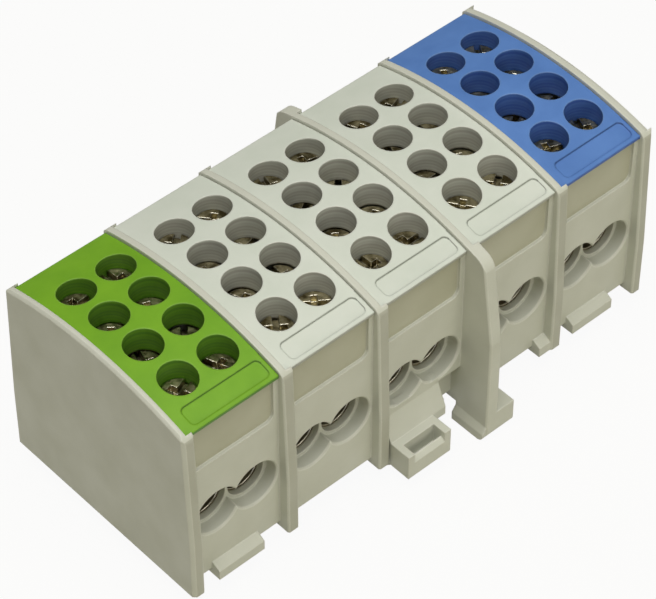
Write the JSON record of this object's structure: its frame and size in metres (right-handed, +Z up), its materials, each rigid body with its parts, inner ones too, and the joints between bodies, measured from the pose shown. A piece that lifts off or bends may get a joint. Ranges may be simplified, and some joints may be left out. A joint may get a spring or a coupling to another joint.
{
  "type": "power distribution block",
  "caption": "Rail-mounted power distribution block: poles side by side with arched colour-coded lids, sunk clamp screws, stepped wire entries and a rail catch.",
  "frame": {"origin": "middle of the rail seat, on the top face of the rail", "axes": "X along the rail with the earth pole at -X, Y across the rail with the release lug at -Y, Z up from the rail to the lids"},
  "size_m": [0.1074, 0.0576, 0.046],
  "materials": {
    "housing_grey": "satin, light grey moulded polyamide",
    "lid_grey": "satin, light grey moulded polyamide",
    "lid_green": "satin, yellow-green moulded polyamide",
    "lid_blue": "satin, mid blue moulded polyamide",
    "clamp_brass": "machined, dull",
    "screw_zinc": "yellow passivated zinc on steel"
  },
  "bodies": {
    "block": {"housing_pe": "housing_grey", "housing_l1": "housing_grey", "housing_l2": "housing_grey", "housing_l3": "housing_grey", "housing_n": "housing_grey", "end_plate": "housing_grey", "lid_pe": "lid_green", "lid_l1": "lid_grey", "lid_l2": "lid_grey", "lid_l3": "lid_grey", "lid_n": "lid_blue", "clamp_pe": "clamp_brass", "clamp_l1": "clamp_brass", "clamp_l2": "clamp_brass", "clamp_l3": "clamp_brass", "clamp_n": "clamp_brass"},
    "screw_pe_1_body": {"screw_pe_1": "screw_zinc"},
    "screw_pe_2_body": {"screw_pe_2": "screw_zinc"},
    "screw_pe_3_body": {"screw_pe_3": "screw_zinc"},
    "screw_pe_4_body": {"screw_pe_4": "screw_zinc"},
    "screw_pe_5_body": {"screw_pe_5": "screw_zinc"},
    "screw_pe_6_body": {"screw_pe_6": "screw_zinc"},
    "screw_pe_7_body": {"screw_pe_7": "screw_zinc"},
    "screw_pe_8_body": {"screw_pe_8": "screw_zinc"},
    "screw_l1_1_body": {"screw_l1_1": "screw_zinc"},
    "screw_l1_2_body": {"screw_l1_2": "screw_zinc"},
    "screw_l1_3_body": {"screw_l1_3": "screw_zinc"},
    "screw_l1_4_body": {"screw_l1_4": "screw_zinc"},
    "screw_l1_5_body": {"screw_l1_5": "screw_zinc"},
    "screw_l1_6_body": {"screw_l1_6": "screw_zinc"},
    "screw_l1_7_body": {"screw_l1_7": "screw_zinc"},
    "screw_l1_8_body": {"screw_l1_8": "screw_zinc"},
    "screw_l2_1_body": {"screw_l2_1": "screw_zinc"},
    "screw_l2_2_body": {"screw_l2_2": "screw_zinc"},
    "screw_l2_3_body": {"screw_l2_3": "screw_zinc"},
    "screw_l2_4_body": {"screw_l2_4": "screw_zinc"},
    "screw_l2_5_body": {"screw_l2_5": "screw_zinc"},
    "screw_l2_6_body": {"screw_l2_6": "screw_zinc"},
    "screw_l2_7_body": {"screw_l2_7": "screw_zinc"},
    "screw_l2_8_body": {"screw_l2_8": "screw_zinc"},
    "screw_l3_1_body": {"screw_l3_1": "screw_zinc"},
    "screw_l3_2_body": {"screw_l3_2": "screw_zinc"},
    "screw_l3_3_body": {"screw_l3_3": "screw_zinc"},
    "screw_l3_4_body": {"screw_l3_4": "screw_zinc"},
    "screw_l3_5_body": {"screw_l3_5": "screw_zinc"},
    "screw_l3_6_body": {"screw_l3_6": "screw_zinc"},
    "screw_l3_7_body": {"screw_l3_7": "screw_zinc"},
    "screw_l3_8_body": {"screw_l3_8": "screw_zinc"},
    "screw_n_1_body": {"screw_n_1": "screw_zinc"},
    "screw_n_2_body": {"screw_n_2": "screw_zinc"},
    "screw_n_3_body": {"screw_n_3": "screw_zinc"},
    "screw_n_4_body": {"screw_n_4": "screw_zinc"},
    "screw_n_5_body": {"screw_n_5": "screw_zinc"},
    "screw_n_6_body": {"screw_n_6": "screw_zinc"},
    "screw_n_7_body": {"screw_n_7": "screw_zinc"},
    "screw_n_8_body": {"screw_n_8": "screw_zinc"}
  },
  "joints": [
    {"name": "screw_pe_1_travel", "type": "slide", "parent": "block", "child": "screw_pe_1_body", "axis": [0, 0, 1], "range_m": [-0.006, 0]},
    {"name": "screw_pe_2_travel", "type": "slide", "parent": "block", "child": "screw_pe_2_body", "axis": [0, 0, 1], "range_m": [-0.006, 0]},
    {"name": "screw_pe_3_travel", "type": "slide", "parent": "block", "child": "screw_pe_3_body", "axis": [0, 0, 1], "range_m": [-0.006, 0]},
    {"name": "screw_pe_4_travel", "type": "slide", "parent": "block", "child": "screw_pe_4_body", "axis": [0, 0, 1], "range_m": [-0.006, 0]},
    {"name": "screw_pe_5_travel", "type": "slide", "parent": "block", "child": "screw_pe_5_body", "axis": [0, 0, 1], "range_m": [-0.006, 0]},
    {"name": "screw_pe_6_travel", "type": "slide", "parent": "block", "child": "screw_pe_6_body", "axis": [0, 0, 1], "range_m": [-0.006, 0]},
    {"name": "screw_pe_7_travel", "type": "slide", "parent": "block", "child": "screw_pe_7_body", "axis": [0, 0, 1], "range_m": [-0.006, 0]},
    {"name": "screw_pe_8_travel", "type": "slide", "parent": "block", "child": "screw_pe_8_body", "axis": [0, 0, 1], "range_m": [-0.006, 0]},
    {"name": "screw_l1_1_travel", "type": "slide", "parent": "block", "child": "screw_l1_1_body", "axis": [0, 0, 1], "range_m": [-0.006, 0]},
    {"name": "screw_l1_2_travel", "type": "slide", "parent": "block", "child": "screw_l1_2_body", "axis": [0, 0, 1], "range_m": [-0.006, 0]},
    {"name": "screw_l1_3_travel", "type": "slide", "parent": "block", "child": "screw_l1_3_body", "axis": [0, 0, 1], "range_m": [-0.006, 0]},
    {"name": "screw_l1_4_travel", "type": "slide", "parent": "block", "child": "screw_l1_4_body", "axis": [0, 0, 1], "range_m": [-0.006, 0]},
    {"name": "screw_l1_5_travel", "type": "slide", "parent": "block", "child": "screw_l1_5_body", "axis": [0, 0, 1], "range_m": [-0.006, 0]},
    {"name": "screw_l1_6_travel", "type": "slide", "parent": "block", "child": "screw_l1_6_body", "axis": [0, 0, 1], "range_m": [-0.006, 0]},
    {"name": "screw_l1_7_travel", "type": "slide", "parent": "block", "child": "screw_l1_7_body", "axis": [0, 0, 1], "range_m": [-0.006, 0]},
    {"name": "screw_l1_8_travel", "type": "slide", "parent": "block", "child": "screw_l1_8_body", "axis": [0, 0, 1], "range_m": [-0.006, 0]},
    {"name": "screw_l2_1_travel", "type": "slide", "parent": "block", "child": "screw_l2_1_body", "axis": [0, 0, 1], "range_m": [-0.006, 0]},
    {"name": "screw_l2_2_travel", "type": "slide", "parent": "block", "child": "screw_l2_2_body", "axis": [0, 0, 1], "range_m": [-0.006, 0]},
    {"name": "screw_l2_3_travel", "type": "slide", "parent": "block", "child": "screw_l2_3_body", "axis": [0, 0, 1], "range_m": [-0.006, 0]},
    {"name": "screw_l2_4_travel", "type": "slide", "parent": "block", "child": "screw_l2_4_body", "axis": [0, 0, 1], "range_m": [-0.006, 0]},
    {"name": "screw_l2_5_travel", "type": "slide", "parent": "block", "child": "screw_l2_5_body", "axis": [0, 0, 1], "range_m": [-0.006, 0]},
    {"name": "screw_l2_6_travel", "type": "slide", "parent": "block", "child": "screw_l2_6_body", "axis": [0, 0, 1], "range_m": [-0.006, 0]},
    {"name": "screw_l2_7_travel", "type": "slide", "parent": "block", "child": "screw_l2_7_body", "axis": [0, 0, 1], "range_m": [-0.006, 0]},
    {"name": "screw_l2_8_travel", "type": "slide", "parent": "block", "child": "screw_l2_8_body", "axis": [0, 0, 1], "range_m": [-0.006, 0]},
    {"name": "screw_l3_1_travel", "type": "slide", "parent": "block", "child": "screw_l3_1_body", "axis": [0, 0, 1], "range_m": [-0.006, 0]},
    {"name": "screw_l3_2_travel", "type": "slide", "parent": "block", "child": "screw_l3_2_body", "axis": [0, 0, 1], "range_m": [-0.006, 0]},
    {"name": "screw_l3_3_travel", "type": "slide", "parent": "block", "child": "screw_l3_3_body", "axis": [0, 0, 1], "range_m": [-0.006, 0]},
    {"name": "screw_l3_4_travel", "type": "slide", "parent": "block", "child": "screw_l3_4_body", "axis": [0, 0, 1], "range_m": [-0.006, 0]},
    {"name": "screw_l3_5_travel", "type": "slide", "parent": "block", "child": "screw_l3_5_body", "axis": [0, 0, 1], "range_m": [-0.006, 0]},
    {"name": "screw_l3_6_travel", "type": "slide", "parent": "block", "child": "screw_l3_6_body", "axis": [0, 0, 1], "range_m": [-0.006, 0]},
    {"name": "screw_l3_7_travel", "type": "slide", "parent": "block", "child": "screw_l3_7_body", "axis": [0, 0, 1], "range_m": [-0.006, 0]},
    {"name": "screw_l3_8_travel", "type": "slide", "parent": "block", "child": "screw_l3_8_body", "axis": [0, 0, 1], "range_m": [-0.006, 0]},
    {"name": "screw_n_1_travel", "type": "slide", "parent": "block", "child": "screw_n_1_body", "axis": [0, 0, 1], "range_m": [-0.006, 0]},
    {"name": "screw_n_2_travel", "type": "slide", "parent": "block", "child": "screw_n_2_body", "axis": [0, 0, 1], "range_m": [-0.006, 0]},
    {"name": "screw_n_3_travel", "type": "slide", "parent": "block", "child": "screw_n_3_body", "axis": [0, 0, 1], "range_m": [-0.006, 0]},
    {"name": "screw_n_4_travel", "type": "slide", "parent": "block", "child": "screw_n_4_body", "axis": [0, 0, 1], "range_m": [-0.006, 0]},
    {"name": "screw_n_5_travel", "type": "slide", "parent": "block", "child": "screw_n_5_body", "axis": [0, 0, 1], "range_m": [-0.006, 0]},
    {"name": "screw_n_6_travel", "type": "slide", "parent": "block", "child": "screw_n_6_body", "axis": [0, 0, 1], "range_m": [-0.006, 0]},
    {"name": "screw_n_7_travel", "type": "slide", "parent": "block", "child": "screw_n_7_body", "axis": [0, 0, 1], "range_m": [-0.006, 0]},
    {"name": "screw_n_8_travel", "type": "slide", "parent": "block", "child": "screw_n_8_body", "axis": [0, 0, 1], "range_m": [-0.006, 0]}
  ]
}
